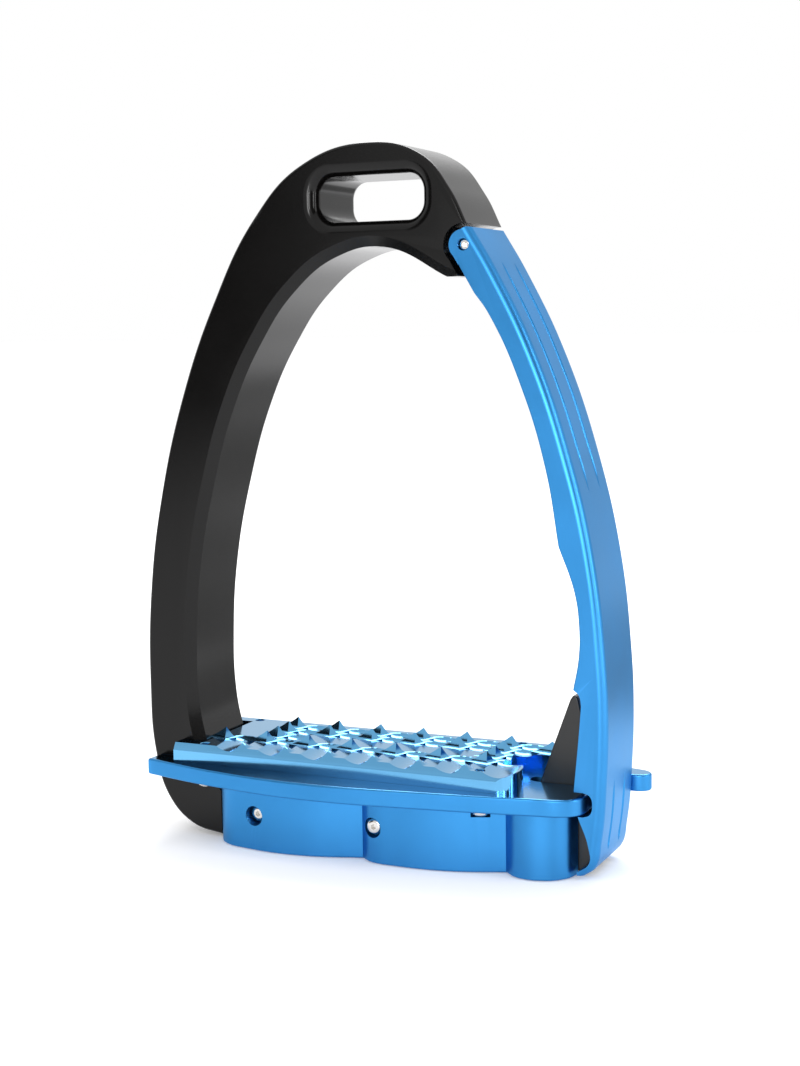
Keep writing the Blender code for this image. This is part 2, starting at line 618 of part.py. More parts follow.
def coil(name, start_x, length, centre_z, radius, wire, turns):
    curve = bpy.data.curves.new(name, "CURVE")
    curve.dimensions = "3D"
    curve.bevel_depth = wire * MM
    curve.bevel_resolution = 2
    curve.use_fill_caps = True
    per_turn = 12
    spline = curve.splines.new("POLY")
    count = turns * per_turn
    spline.points.add(count)
    for step, point in enumerate(spline.points):
        angle = 2 * math.pi * step / per_turn
        point.co = ((start_x + length * step / count) * MM, radius * math.cos(angle) * MM,
                    (centre_z + radius * math.sin(angle)) * MM, 1.0)
    obj = bpy.data.objects.new(name, curve)
    PARTS.objects.link(obj)
    curve.materials.append(STEEL)


build_frame()
build_arm()
build_base()
build_tread()
build_lever()
build_hinge()
build_cross_screws()
build_tread_screws()
build_lever_hardware()
build_arm_buffer()
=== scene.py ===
"""Looks of the stirrup iron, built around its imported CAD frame.

Shapes are written in millimetres in the part's own frame: X runs from the fixed side of the
arch to the opening arm, Y from the toe side of the tread to the back, and Z is up.
"""

import math

import bmesh
import bpy
import numpy as np
from mathutils import Matrix, Vector


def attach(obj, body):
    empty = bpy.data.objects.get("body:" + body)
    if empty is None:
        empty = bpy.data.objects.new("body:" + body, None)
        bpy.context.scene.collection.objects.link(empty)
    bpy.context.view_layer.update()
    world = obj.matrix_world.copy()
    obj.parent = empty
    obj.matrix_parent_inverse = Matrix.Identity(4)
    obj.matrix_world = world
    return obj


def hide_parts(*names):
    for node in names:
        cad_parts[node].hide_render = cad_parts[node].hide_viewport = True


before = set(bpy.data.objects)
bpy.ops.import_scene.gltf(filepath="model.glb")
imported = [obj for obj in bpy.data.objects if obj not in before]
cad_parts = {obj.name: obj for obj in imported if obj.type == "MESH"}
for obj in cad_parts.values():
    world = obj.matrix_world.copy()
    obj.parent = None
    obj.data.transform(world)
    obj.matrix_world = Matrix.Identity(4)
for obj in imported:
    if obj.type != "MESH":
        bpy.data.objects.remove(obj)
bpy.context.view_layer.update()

MM = 0.001
HALF = 13.0                     # half depth of arch and arm
HINGE = (31.1, 162.2)
OPENING_MIDDLE_Z = 90.0
STEPS = 14                      # points per outline segment
OVERRUN = 3.0                   # how far an edge cutter runs past the ends of its path
SMOOTH, CORNER = "AUTO", "VECTOR"


# ---------------------------------------------------------------- materials
MOTTLE_SCALE = 60.0             # slow change of tone and gloss over the part
EDGE_FROM, EDGE_TO = 0.53, 0.62  # pointiness at which an edge starts and ends getting lighter
GLOSS_SPREAD = 0.15


def srgb(red, green, blue):
    """Linear colour from screen values of 0 to 255."""
    return tuple(c / 12.92 if c <= 0.04045 else ((c + 0.055) / 1.055) ** 2.4
                 for c in (red / 255, green / 255, blue / 255))


def metal_finish(name, colour, rough, metallic=1.0, specular=0.5, grain=0.012, grain_scale=9000.0,
                 mottle=0.05, lift=0.25, tint=(1.0, 1.0, 1.0)):
    """A fine blasted or polished finish: slow mottling of colour and gloss, grain, lighter edges."""
    mat = bpy.data.materials.new(name)
    mat.use_nodes = True
    nodes, links = mat.node_tree.nodes, mat.node_tree.links
    shader = nodes["Principled BSDF"]
    shader.inputs["Metallic"].default_value = metallic
    shader.inputs["Specular IOR Level"].default_value = specular
    shader.inputs["Specular Tint"].default_value = (*tint, 1)

    place = nodes.new("ShaderNodeTexCoord")
    broad = nodes.new("ShaderNodeTexNoise")
    broad.inputs["Scale"].default_value = MOTTLE_SCALE
    broad.inputs["Detail"].default_value = 4.0
    links.new(place.outputs["Object"], broad.inputs["Vector"])
    fine = nodes.new("ShaderNodeTexNoise")
    fine.inputs["Scale"].default_value = grain_scale
    fine.inputs["Detail"].default_value = 2.0
    links.new(place.outputs["Object"], fine.inputs["Vector"])

    tone = nodes.new("ShaderNodeValToRGB")
    tone.color_ramp.elements[0].position = 0.3
    tone.color_ramp.elements[1].position = 0.7
    tone.color_ramp.elements[0].color = (*(c * (1 - mottle) for c in colour), 1)
    tone.color_ramp.elements[1].color = (*(min(1.0, c * (1 + mottle)) for c in colour), 1)
    links.new(broad.outputs["Fac"], tone.inputs["Fac"])

    shape = nodes.new("ShaderNodeNewGeometry")
    edge = nodes.new("ShaderNodeMapRange")
    edge.inputs["From Min"].default_value = EDGE_FROM
    edge.inputs["From Max"].default_value = EDGE_TO
    edge.inputs["To Max"].default_value = lift
    links.new(shape.outputs["Pointiness"], edge.inputs["Value"])
    worn = nodes.new("ShaderNodeMix")
    worn.data_type = "RGBA"
    links.new(edge.outputs["Result"], worn.inputs["Factor"])
    links.new(tone.outputs["Color"], worn.inputs["A"])
    worn.inputs["B"].default_value = (*(min(1.0, c * 1.6 + 0.02) for c in colour), 1)
    links.new(worn.outputs["Result"], shader.inputs["Base Color"])

    gloss = nodes.new("ShaderNodeMapRange")
    gloss.inputs["To Min"].default_value = rough * (1 - GLOSS_SPREAD)
    gloss.inputs["To Max"].default_value = rough * (1 + GLOSS_SPREAD)
    links.new(broad.outputs["Fac"], gloss.inputs["Value"])
    links.new(gloss.outputs["Result"], shader.inputs["Roughness"])

    bump = nodes.new("ShaderNodeBump")
    bump.inputs["Strength"].default_value = 0.6
    bump.inputs["Distance"].default_value = grain * MM
    links.new(fine.outputs["Fac"], bump.inputs["Height"])
    links.new(bump.outputs["Normal"], shader.inputs["Normal"])
    return mat


BLACK = metal_finish("black_anodised_look", (0.0022, 0.0020, 0.0019), 0.17, metallic=0.0, specular=0.24,
                     grain=0.004, mottle=0.1, lift=0.3)
BLUE = metal_finish("blue_anodised_look", srgb(55, 132, 192), 0.36, grain=0.005, tint=(0.8, 0.92, 1.0))
# Glossier blue for the plate's upward faces. Its colour is also a lighter copy of the body's blue: a
# painted sheen for the light those faces reflect.
POLISHED_BLUE_PAINTED_SHEEN = metal_finish("blue_polished_painted_sheen_look", srgb(84, 152, 200), 0.18, grain=0.002)
TREAD = metal_finish("tread_blue_look", srgb(96, 160, 203), 0.14, grain=0.002, mottle=0.03)
STEEL = metal_finish("steel_look", (0.66, 0.64, 0.61), 0.14, grain=0.003, mottle=0.04)
LEVER = metal_finish("lever_black_look", (0.010, 0.010, 0.010), 0.34, metallic=0.0, specular=0.5,
                     grain=0.02, grain_scale=5000.0, mottle=0.12)
BRONZE = metal_finish("bronze_look", (0.45, 0.27, 0.10), 0.35, grain=0.005, mottle=0.08)
RUBBER = metal_finish("rubber_look", (0.015, 0.015, 0.015), 0.7, metallic=0.0, specular=0.3,
                      grain=0.03, grain_scale=4000.0, mottle=0.1, lift=0.1)

NODE_LOOKS = {"frame": BLACK, "opening_arm": BLUE, "base": BLUE, "tread_insert": TREAD,
              "release_lever": LEVER, "lever_spring": STEEL, "lever_pivot_pin": STEEL,
              "hinge_pin": STEEL, "hinge_nut": STEEL, "arm_buffer": RUBBER,
              "hinge_bush_front": BRONZE, "hinge_bush_rear": BRONZE}
for node_name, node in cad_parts.items():
    look = NODE_LOOKS.get(node_name, STEEL)
    for spot in node.material_slots:
        spot.material = look


# ---------------------------------------------------------------- mesh helpers
def clean(bm):
    """Turn a bmesh into a mesh with all its faces pointing outwards."""
    bmesh.ops.recalc_face_normals(bm, faces=bm.faces)
    mesh = bpy.data.meshes.new("shape")
    bm.to_mesh(mesh)
    bm.free()
    return mesh


def new_object(name, mesh):
    obj = bpy.data.objects.new(name, mesh)
    bpy.context.scene.collection.objects.link(obj)
    return obj


def prism(name, outline, low, high, plane="XZ", steps=STEPS):
    """Extrude an outline of (u, v, handle) between two levels, along Y or, in the XY plane, Z."""
    curve = bpy.data.curves.new(name, "CURVE")
    curve.dimensions = "2D"
    curve.fill_mode = "BOTH"
    curve.resolution_u = steps
    curve.extrude = (high - low) / 2 * MM
    spline = curve.splines.new("BEZIER")
    spline.bezier_points.add(len(outline) - 1)
    spline.use_cyclic_u = True
    for point, (u, v, handle) in zip(spline.bezier_points, outline):
        point.co = (u * MM, v * MM, 0.0)
        point.handle_left_type = handle
        point.handle_right_type = handle
    guide = new_object(name, curve)
    if plane == "XZ":
        turn = Matrix.Rotation(math.pi / 2, 4, "X")
        place = Matrix.Translation((0, (low + high) / 2 * MM, 0)) @ turn
    else:
        place = Matrix.Translation((0, 0, (low + high) / 2 * MM))
    bpy.context.view_layer.update()
    flat = bpy.data.meshes.new_from_object(guide.evaluated_get(bpy.context.evaluated_depsgraph_get()))
    flat.transform(place)
    bpy.data.objects.remove(guide, do_unlink=True)
    bm = bmesh.new()
    bm.from_mesh(flat)
    bpy.data.meshes.remove(flat)
    bmesh.ops.remove_doubles(bm, verts=bm.verts, dist=1e-6)
    axis = 1 if plane == "XZ" else 2
    for level in (low, high):
        cap = [f for f in bm.faces if abs(f.normal[axis]) > 0.9
               and abs(f.calc_center_median()[axis] - level * MM) < 1e-6]
        bmesh.ops.dissolve_faces(bm, faces=cap)
    return new_object(name, clean(bm))


def round_edges(obj, wanted, width, segments, least=30.0):
    """Bevel the edges sharper than a least angle whose middle and normals satisfy wanted, in mm."""
    bm = bmesh.new()
    bm.from_mesh(obj.data)
    chosen = []
    for edge in bm.edges:
        if len(edge.link_faces) != 2 or edge.calc_face_angle() < math.radians(least):
            continue
        mid = (edge.verts[0].co + edge.verts[1].co) / 2 / MM
        if wanted(mid, [face.normal for face in edge.link_faces]):
            chosen.append(edge)
    bmesh.ops.bevel(bm, geom=chosen, offset=width * MM, segments=segments, profile=0.5,
                    affect="EDGES", clamp_overlap=True)
    obj.data = clean(bm)


def combine(obj, other, operation="DIFFERENCE"):
    """Apply a boolean of another object to this one, and use the other object up."""
    mod = obj.modifiers.new("combine", "BOOLEAN")
    mod.operation = operation
    mod.solver = "EXACT"
    mod.object = other
    bpy.context.view_layer.update()
    mesh = bpy.data.meshes.new_from_object(obj.evaluated_get(bpy.context.evaluated_depsgraph_get()))
    obj.modifiers.remove(mod)
    bm = bmesh.new()
    bm.from_mesh(mesh)
    bmesh.ops.remove_doubles(bm, verts=bm.verts, dist=2e-6)
    bmesh.ops.dissolve_degenerate(bm, edges=bm.edges, dist=1e-6)
    obj.data = clean(bm)
    bpy.data.objects.remove(other, do_unlink=True)


def cylinder(axis, centre, radius, low, high, sides=48, top_radius=None):
    """A cylinder or cone along an axis between two levels, in mm."""
    bm = bmesh.new()
    bmesh.ops.create_cone(bm, cap_ends=True, segments=sides, radius1=radius * MM,
                          radius2=(radius if top_radius is None else top_radius) * MM,
                          depth=(high - low) * MM)
    middle = (low + high) / 2
    turn, place = Matrix.Identity(4), Vector((centre[0], centre[1], middle))
    if axis == "Y":
        turn = Matrix.Rotation(-math.pi / 2, 4, "X")
        place = Vector((centre[0], middle, centre[1]))
    elif axis == "X":
        turn = Matrix.Rotation(math.pi / 2, 4, "Y")
        place = Vector((middle, centre[0], centre[1]))
    bmesh.ops.transform(bm, matrix=Matrix.Translation(place * MM) @ turn, verts=bm.verts)
    return new_object("cylinder", clean(bm))


def block(low, high):
    """A box between two opposite corners, in mm."""
    bm = bmesh.new()
    bmesh.ops.create_cube(bm, size=1.0)
    low, high = Vector(low) * MM, Vector(high) * MM
    scale = Matrix.Diagonal((*(high - low), 1.0))
    bmesh.ops.transform(bm, matrix=Matrix.Translation((low + high) / 2) @ scale, verts=bm.verts)
    return new_object("block", clean(bm))


def edge_path(obj, start, via, end):
    """Points (x, z) along the rim of a prism's biggest face, from one corner past another to a third."""
    face = max(obj.data.polygons, key=lambda polygon: polygon.loop_total)
    rim = [Vector((obj.data.vertices[k].co.x, obj.data.vertices[k].co.z)) / MM for k in face.vertices]

    def nearest(place):
        return min(range(len(rim)), key=lambda k: (rim[k] - Vector(place)).length)

    first, middle, last = nearest(start), nearest(via), nearest(end)
    walk = [(first + k) % len(rim) for k in range((last - first) % len(rim) + 1)]
    if middle not in walk:
        walk = [(first - k) % len(rim) for k in range((first - last) % len(rim) + 1)]
    return [rim[k] for k in walk]


def chamfer_section(size, reach=0.6):
    """Corner section to cut away, as (outwards from the wall, down from the face)."""
    return [(reach, size + reach), (-size - reach, -reach), (reach, -reach)]


def round_section(radius, count, reach=0.6):
    """Corner section that leaves a round of the given radius, as for chamfer_section."""
    turns = [math.pi / 2 * k / count for k in range(count + 1)]
    rounding = [(-radius + radius * math.cos(a), radius - radius * math.sin(a)) for a in turns]
    return [(reach, radius)] + rounding + [(-radius, -reach), (reach, -reach)]


def loft(name, rings):
    """A closed solid through rings of (x, y, z) points in mm, capped at both ends."""
    bm = bmesh.new()
    placed = [[bm.verts.new(Vector(point) * MM) for point in ring] for ring in rings]
    count = len(placed[0])
    for ring, following in zip(placed, placed[1:]):
        for k in range(count):
            n = (k + 1) % count
            bm.faces.new((ring[k], ring[n], following[n], following[k]))
    bm.faces.new(placed[0])
    bm.faces.new(placed[-1])
    return new_object(name, clean(bm))


def sweep(line, section_at, towards_middle):
    """A closed solid whose section, as (outwards, y) in mm, follows a line of (x, z) points."""
    sign = 1 if towards_middle else -1
    rings = []
    for k, place in enumerate(line):
        along = (line[min(k + 1, len(line) - 1)] - line[max(k - 1, 0)]).normalized()
        out = Vector((-along.y, along.x))
        if out.dot(Vector((0.0, OPENING_MIDDLE_Z)) - place) * sign < 0:
            out = -out
        rings.append([(place.x + out.x * a, y, place.y + out.y * a)
                      for a, y in section_at(k / (len(line) - 1))])
    return loft("sweep", rings)


def cut_edge(obj, path, section, towards_middle):
    """Cut a section off the rim along a path, on the front and back faces alike."""
    start = path[0] + (path[0] - path[1]).normalized() * OVERRUN
    end = path[-1] + (path[-1] - path[-2]).normalized() * OVERRUN
    for side in (-1, 1):
        placed = [(a, side * (HALF - down)) for a, down in section]
        combine(obj, sweep([start, *path, end], lambda share: placed, towards_middle))


def groove_section(y, share, depth):
    """Round groove bottom that rises out of the surface towards both ends of the groove."""
    sink = depth * min(1.0, GROOVE_RUN_OUT * share, GROOVE_RUN_OUT * (1 - share)) - 0.05
    turns = [2 * math.pi * k / GROOVE_SIDES for k in range(GROOVE_SIDES)]
    return [(GROOVE_RADIUS - sink + GROOVE_RADIUS * math.cos(a), y + GROOVE_RADIUS * math.sin(a))
            for a in turns]


def cut_grooves(arm):
    """Two long grooves high on the arm's outer face and two short ones at its foot."""
    for start, end, depth in GROOVES:
        halfway = ((start[0] + end[0]) / 2 + GROOVE_BOW, (start[1] + end[1]) / 2)
        path = edge_path(arm, start, halfway, end)
        for y in (-GROOVE_Y, GROOVE_Y):
            combine(arm, sweep(path, lambda share: groove_section(y, share, depth), False))


def arc(centre, radius, start, end, count):
    return [(centre[0] + radius * math.cos(math.radians(start + (end - start) * k / count)),
             centre[1] + radius * math.sin(math.radians(start + (end - start) * k / count)), SMOOTH)
            for k in range(count + 1)]


def corners(*points):
    return [(u, v, CORNER) for u, v in points]


def smooth(*points):
    return [(u, v, SMOOTH) for u, v in points]


def mirrored(points):
    return [(u, -v, handle) for u, v, handle in reversed(points)]


def finish_piece(obj, name, body, look, slot, *nodes, sharp=34.0):
    """Name, shade and dress a piece, and let it stand for its CAD nodes."""
    obj.name = name
    obj.data.name = name
    obj.data.shade_smooth()
    obj.data.set_sharp_from_angle(angle=math.radians(sharp))
    obj.data.materials.clear()
    obj.data.materials.append(look)
    weigh = obj.modifiers.new("face_weighted_normals", "WEIGHTED_NORMAL")
    weigh.keep_sharp = True
    weigh.weight = 80
    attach(obj, body)
    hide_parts(*nodes)
    return obj


# ---------------------------------------------------------------- arch
ARCH_OUTER = smooth((-53.5, 2.8), (-61.2, 10.0), (-65.3, 23.0), (-66.4, 42.0), (-65.1, 70.0),
                    (-61.0, 95.0), (-53.2, 123.0), (-42.6, 148.5), (-29.5, 170.8),
                    (-15.5, 184.0), (4.4, 189.2), (19.5, 185.4), (27.4, 176.4))
ARCH_INNER = smooth((8.0, 162.4), (-6.0, 160.2), (-18.5, 151.5), (-29.0, 138.0),
                    (-38.0, 120.5), (-45.0, 99.0), (-50.0, 76.0), (-51.9, 54.0),
                    (-51.6, 38.0), (-49.8, 28.0), (-47.2, 20.4))
INNER_CHAMFER = 2.6
SLOT_LOW, SLOT_HIGH = (-10.7, 169.2), (19.4, 181.0)
SLOT_RADIUS = 4.6
SLOT_ROLL = 3.4
CROSS_SCREWS = ((-29.0, 9.6), (6.0, 9.6))
HEAD_SEAT, HEAD_END = 16.4, 18.6
HINGE_PIN_END = 12.0
HINGE_HOLE, CROSS_HOLE, HEAD_HOLE = 1.55, 2.05, 2.75
LEVER_PIVOT, PIVOT_HOLE = (53.6, 8.6), 1.65


def slot_outline():
    reach = SLOT_RADIUS
    (left, low), (right, high) = SLOT_LOW, SLOT_HIGH
    points = []
    for cx, cz, start in ((right - reach, high - reach, 0), (left + reach, high - reach, 90),
                          (left + reach, low + reach, 180), (right - reach, low + reach, 270)):
        points += [(u, v, CORNER) for u, v, _ in arc((cx, cz), reach, start, start + 90, 12)]
    return points


def build_arch():
    bend = arc(HINGE, 5.4, 90, 225, 9)
    bend = [(*bend[0][:2], CORNER), *bend[1:-1], (*bend[-1][:2], CORNER)]
    outline = corners((-43.8, 0.6)) + ARCH_OUTER + corners((31.9, HINGE[1] + 5.4)) + bend
    outline += corners((29.6, 154.3), (25.6, 154.3)) + ARCH_INNER + corners((-43.8, 16.9))
    arch = prism("arch_shell", outline, -HALF, HALF)

    inner = edge_path(arch, (25.6, 154.3), (-38.0, 120.5), (-43.8, 16.9))
    outer = edge_path(arch, (-43.8, 0.6), (-53.2, 123.0), (31.9, HINGE[1] + 5.4))
    cut_edge(arch, inner, chamfer_section(INNER_CHAMFER), True)
    cut_edge(arch, outer, round_section(1.0, 5), False)

    combine(arch, prism("slot_cutter", slot_outline(), -HALF - 1, HALF + 1))

    def mouth(mid, normals):
        return (abs(abs(mid.y) - HALF) < 0.01 and SLOT_LOW[0] - 0.1 < mid.x < SLOT_HIGH[0] + 0.1
                and SLOT_LOW[1] - 0.1 < mid.z < SLOT_HIGH[1] + 0.1)

    round_edges(arch, mouth, SLOT_ROLL, 8)

    tongue = [(u, v, CORNER) for u, v, _ in arc(HINGE, 2.5, -100, 165, 20)]
    tongue += corners((25.0, 160.0), (20.0, 158.5), (25.0, 154.5), (29.4, 154.5))
    combine(arch, prism("tongue", tongue, -7.6, 7.6), "UNION")
    combine(arch, cylinder("Y", HINGE, HINGE_HOLE, -HALF, HALF))
    combine(arch, block((-47.8, -8.0, 3.6), (14.0, 8.0, 15.4)), "UNION")
    for place in CROSS_SCREWS:
        combine(arch, cylinder("Y", place, CROSS_HOLE, -HALF, HALF))
    return finish_piece(arch, "arch_shell", "arch", BLACK, "black_anodised", "frame")


# ---------------------------------------------------------------- opening arm
ARM_OUTER = smooth((39.2, 156.2), (49.8, 135.0), (59.0, 108.7), (65.2, 82.4),
                   (68.2, 56.0), (68.8, 42.0), (68.4, 26.0), (67.0, 10.0))
CHANNEL_HALF = 8.8
GROOVE_Y, GROOVE_RADIUS, GROOVE_RUN_OUT = 4.5, 1.1, 5.0
GROOVE_SIDES, GROOVE_BOW = 20, 1.5
# where each pair of grooves starts and ends, as (x, z), and its depth
GROOVES = (((37.6, 159.0), (61.9, 97.5), 0.65), ((68.3, 25.5), (66.2, 6.0), 0.55))
WEB = 2.8


def line_normals(line):
    """Unit normals pointing outwards along a line of (x, z) points running down the arm."""
    normals = []
    for index in range(len(line)):
        before, after = line[max(index - 1, 0)], line[min(index + 1, len(line) - 1)]
        along = Vector((after[0] - before[0], after[1] - before[1])).normalized()
        normals.append(Vector((-along.y, along.x)))
    return normals


def build_arm():
    outline = corners((HINGE[0] + 0.6, 166.7), (32.9, 166.6)) + ARM_OUTER
    outline += smooth((65.4, 3.2)) + corners((62.6, 0.9), (60.9, 1.0), (60.9, 1.9))
    outline += smooth((64.2, 4.6), (64.0, 9.0)) + corners((61.3, 16.4), (60.2, 23.4))
    outline += smooth((61.6, 38.0)) + corners((62.2, 45.5)) + smooth((61.6, 48.2))
    outline += corners((60.0, 49.6)) + smooth((61.5, 58.0), (61.6, 66.0), (60.4, 74.5))
    outline += corners((56.2, 86.0)) + smooth((52.9, 105.2), (46.8, 125.2), (37.6, 145.0))
    outline += corners((33.9, 150.0), (31.2, 154.6)) + arc(HINGE, 3.9, 225, 100, 9)
    arm = prism("arm_shell", outline, -HALF, HALF)

    face = edge_path(arm, (32.9, 166.6), (65.2, 82.4), (62.6, 0.9))
    inside = edge_path(arm, (60.0, 49.6), (52.9, 105.2), (31.2, 154.6))
    cut_grooves(arm)
    cut_edge(arm, face, round_section(2.3, 8), False)
    cut_edge(arm, inside, round_section(0.4, 3), True)

    web_line = [(34.0, 164.6)] + [(x, z) for x, z, _ in ARM_OUTER]
    leans = line_normals(web_line)[1:]
    channel = corners((31.0, 168.0), (HINGE[0] + 2.5, 165.4))
    channel += smooth(*[(x - WEB * n.x, z - WEB * n.y) for (x, z), n in zip(web_line[1:], leans)])
    channel += corners((64.2, -2.0), (40.0, -2.0), (30.0, 120.0), (24.0, 150.0), (24.0, 168.0))
    combine(arm, prism("channel", channel, -CHANNEL_HALF, CHANNEL_HALF))
    slot = smooth((64.4, 17.4), (65.1, 19.8), (64.4, 22.3))
    slot += corners((62.6, 23.0), (50.0, 23.0), (50.0, 16.6), (62.6, 16.6))
    combine(arm, prism("plate_slot", slot, -HALF - 1, HALF + 1))
    combine(arm, cylinder("Y", HINGE, HINGE_HOLE, -HALF - 1, HALF + 1))
    return finish_piece(arm, "arm_shell", "arm", BLUE, "blue_anodised", "opening_arm")


# ---------------------------------------------------------------- base
PLATE_LOW, PLATE_HIGH = 17.4, 22.0
PLATE_FRONT = smooth((-40.0, -24.2), (-10.0, -27.4), (25.0, -24.0), (50.0, -20.0))
BODY_FRONT = (corners((-43.4, -12.0)) + smooth((-40.6, -17.4), (-31.0, -20.6), (-14.0, -20.9))
              + corners((1.8, -16.6)) + smooth((5.0, -19.0), (13.0, -20.0), (28.0, -18.8))
              + corners((42.0, -14.2)) + smooth((46.0, -17.3), (53.0, -17.5), (58.4, -13.6)))
TREAD_SCREWS = ((-46.8, -15.7), (35.6, -15.7), (-46.8, 15.7), (35.6, 15.7))


def build_base():
    outline = corners((-64.2, -18.2)) + PLATE_FRONT
    outline += smooth((59.5, -17.8), (62.6, -14.5)) + corners((63.0, -8.0), (62.9, HALF + 0.6))
    outline += smooth((71.2, 14.4), (71.8, 17.6), (66.5, 20.4)) + mirrored(PLATE_FRONT)
    outline += corners((-64.2, 18.2), (-63.8, HALF + 0.4), (-44.2, HALF + 0.4),
                       (-44.2, -HALF - 0.4), (-63.8, -HALF - 0.4))
    base = prism("base_shell", outline, PLATE_LOW, PLATE_HIGH, "XY")
    round_edges(base, lambda mid, normals: max(abs(n.z) for n in normals) > 0.9, 0.55, 3)
    body = prism("body", BODY_FRONT + corners((59.9, -8.9), (59.9, 8.9)) + mirrored(BODY_FRONT),
                 0.0, PLATE_LOW + 1.0, "XY")
    round_edges(body, lambda mid, normals: mid.z < 0.1, 1.4, 4)
    combine(base, body, "UNION")
    combine(base, block((-49.8, -8.3, 3.3), (14.6, 8.3, 15.7)))
    for place in CROSS_SCREWS:
        combine(base, cylinder("Y", place, CROSS_HOLE, -25, 25))
        combine(base, cylinder("Y", place, HEAD_HOLE, -26, 0.3 - HEAD_SEAT))
        combine(base, cylinder("Y", place, HEAD_HOLE, HEAD_SEAT - 0.3, 26))
    for place in TREAD_SCREWS:
        combine(base, cylinder("Z", place, 1.5, 15.8, 30))
        combine(base, cylinder("Z", place, 2.7, 14.8, PLATE_LOW + 0.02))
    lever_slot = arc((46.6, 0.0), 2.8, 90, 270, 12) + corners((70.0, -2.8), (70.0, 2.8))
    combine(base, prism("lever_slot", lever_slot, -1.0, 24.0, "XY"))
    combine(base, block((55.6, -8.7, -1), (70, 8.7, 17.0)))
    combine(base, cylinder("Y", LEVER_PIVOT, PIVOT_HOLE, -10.4, 10.4))
    combine(base, cylinder("X", (0.0, 6.0), 2.4, 36.0, 46.0))
    base = finish_piece(base, "base_shell", "arch", BLUE, "blue_anodised", "base")
    base.data.materials.append(POLISHED_BLUE_PAINTED_SHEEN)
    # The plate's upward faces take the glossier blue, whose lighter colour is painted sheen.
    for face in base.data.polygons:
        if face.normal.z > 0.95 and face.center.z > (PLATE_HIGH - 0.1) * MM:
            face.material_index = 1
    return base


# ---------------------------------------------------------------- tread
INSERT_LOW, INSERT_HIGH = PLATE_HIGH + 0.03, 27.2
INSERT_HALF = 18.5
SPIKE_HEIGHT, SPIKE_HOLLOW = 2.95, 1.6
PITCH = 13.2
FRONT_ROW_Y = -6.5
FRONT_CRESTS = [-34.5 + PITCH * k for k in range(6)]
CREST_HEIGHT, CREST_RISE, CREST_FALL = 1.7, 3.4, 1.8
CREST_START_Y, CREST_FADE = -13.4, 2.4
SCOOP_DEPTH, SCOOP_AWAY = 1.1, 5.6
SCOOP_HALF_X, SCOOP_HALF_Y = 4.4, 3.0
FRONT_SCOOP_LEAN, FRONT_SCOOP_LENGTH = 0.15, 12
CELL = 0.4                      # grid of the machined top


def spike_places():
    columns = [-45.3 + PITCH * k for k in range(7)]
    places = [(x, FRONT_ROW_Y) for x in columns]
    places += [(x, y) for y in (6.3, 12.2) for x in columns[1:]]
    return places + [(columns[1], -0.1), (columns[6], -0.1), (46.6, 9.6)]


# corners of a tooth's foot, about its point, and the sizes of the rings up to the point
SPIKE_FOOT = ((-5.6, -1.7), (1.0, -3.0), (2.9, 0.4), (0.6, 2.8))
SPIKE_SHARES = (1.0, 0.86, 0.72, 0.59, 0.47, 0.36, 0.26, 0.17, 0.09, 0.03)


def tread_height(x, y):
    """Height of the top between the teeth, in mm: a scoop to the right of every tooth, long ones
    that run out over the front edge, and low crests along that edge."""
    top = np.zeros_like(x)
    for sx, sy in spike_places():
        middle, away = sx + SCOOP_AWAY, y - sy
        if sy == FRONT_ROW_Y:
            middle = middle + np.clip(sy - y, 0, FRONT_SCOOP_LENGTH) * FRONT_SCOOP_LEAN
            away = np.clip(sy - FRONT_SCOOP_LENGTH - y, 0, 9) + np.clip(y - sy, 0, 9)
        bowl = 1 - ((x - middle) / SCOOP_HALF_X) ** 2 - (away / SCOOP_HALF_Y) ** 2
        top = np.minimum(top, -SCOOP_DEPTH * np.clip(bowl, 0, 1))
    for sx in FRONT_CRESTS:
        rise = np.where(x < sx, np.clip(1 - (sx - x) / CREST_RISE, 0, 1) ** 1.7,
                        np.clip(1 - (x - sx) / CREST_FALL, 0, 1))
        top = top + CREST_HEIGHT * rise * np.clip((CREST_START_Y - y) / CREST_FADE, 0, 1)
    return INSERT_HIGH + top


def spike_solid(sx, sy):
    """One sharp four-sided tooth whose sides sweep up in a hollow curve."""
    rings = [[(sx + dx, sy + dy, INSERT_HIGH - 1.5) for dx, dy in SPIKE_FOOT]]
    for share in SPIKE_SHARES:
        z = INSERT_HIGH + SPIKE_HEIGHT * (1 - share) ** SPIKE_HOLLOW
        rings.append([(sx + dx * share, sy + dy * share, z) for dx, dy in SPIKE_FOOT])
    return loft("spike", rings)


def machined_block():
    """A block larger than the insert, with the machined top on it."""
    x0, x1, y0, y1 = -58.0, 54.0, -20.0, 20.0
    columns, rows = int((x1 - x0) / CELL) + 1, int((y1 - y0) / CELL) + 1
    xs, ys = np.meshgrid(np.linspace(x0, x1, columns), np.linspace(y0, y1, rows))
    heights = tread_height(xs, ys)
    bm = bmesh.new()
    grid = [[bm.verts.new((xs[j, i] * MM, ys[j, i] * MM, heights[j, i] * MM))
             for i in range(columns)] for j in range(rows)]
    for j in range(rows - 1):
        for i in range(columns - 1):
            bm.faces.new((grid[j][i], grid[j][i + 1], grid[j + 1][i + 1], grid[j + 1][i]))
    rim = grid[0] + [row[-1] for row in grid[1:]]
    rim += grid[-1][-2::-1] + [row[0] for row in grid[-2:0:-1]]
    under = [bm.verts.new((v.co.x, v.co.y, 20.0 * MM)) for v in rim]
    for k in range(len(rim)):
        n = (k + 1) % len(rim)
        bm.faces.new((rim[n], rim[k], under[k], under[n]))
    bm.faces.new(under)
    return new_object("tread_plate", clean(bm))


